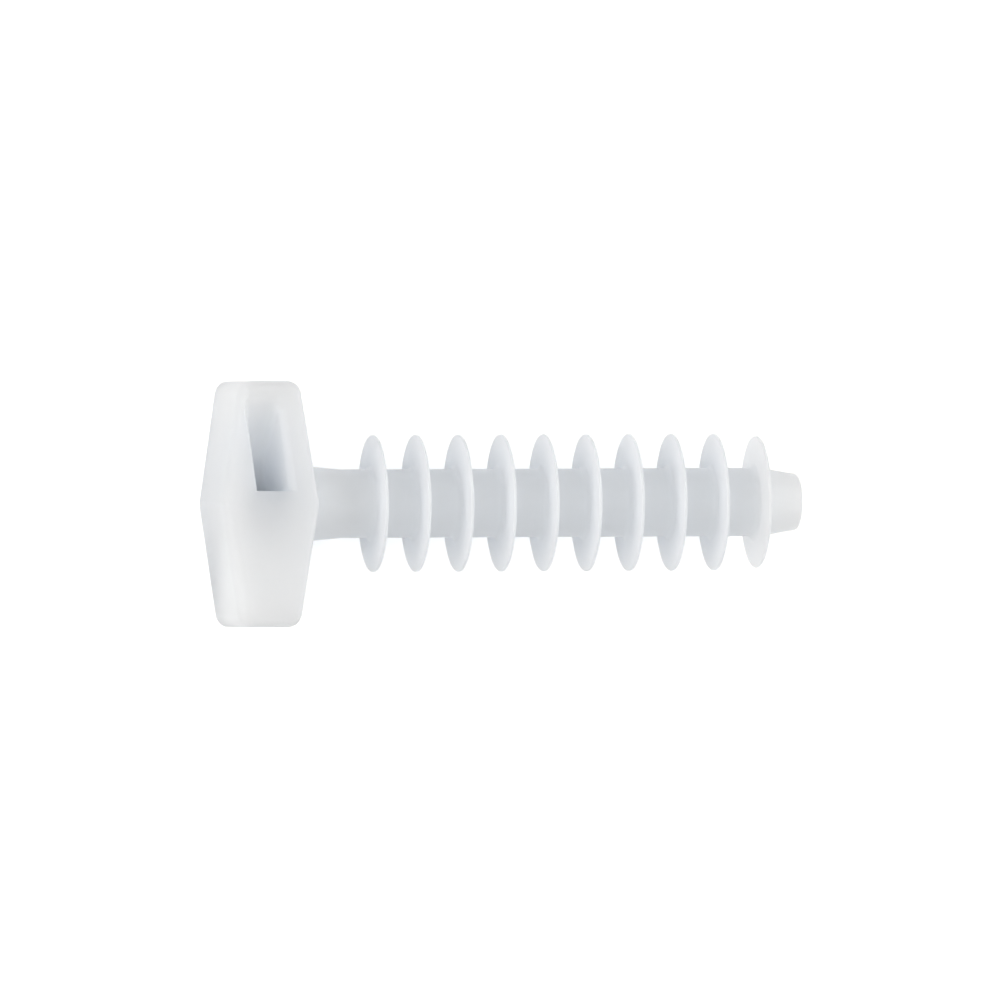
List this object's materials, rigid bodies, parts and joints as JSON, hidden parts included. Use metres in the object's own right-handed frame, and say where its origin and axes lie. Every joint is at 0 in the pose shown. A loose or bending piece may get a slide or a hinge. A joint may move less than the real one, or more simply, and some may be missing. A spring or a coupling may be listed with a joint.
{
  "type": "push-in cable tie mount",
  "caption": "Push-in wall plug with thin round fins and a ridged head, with a slanted slot through the head for a cable tie.",
  "frame": {"origin": "on the plug's axis, at the face of the first fin that looks to the head", "axes": "+X along the plug to its tip, +Y along the head, +Z from the back of the head to its front; the part lies on the back of its head"},
  "size_m": [0.0416, 0.017, 0.0094],
  "materials": {
    "body": "natural white nylon, slightly translucent, with a fine satin moulded surface"
  },
  "bodies": {
    "root": {"tie_mount": "body"}
  },
  "joints": []
}
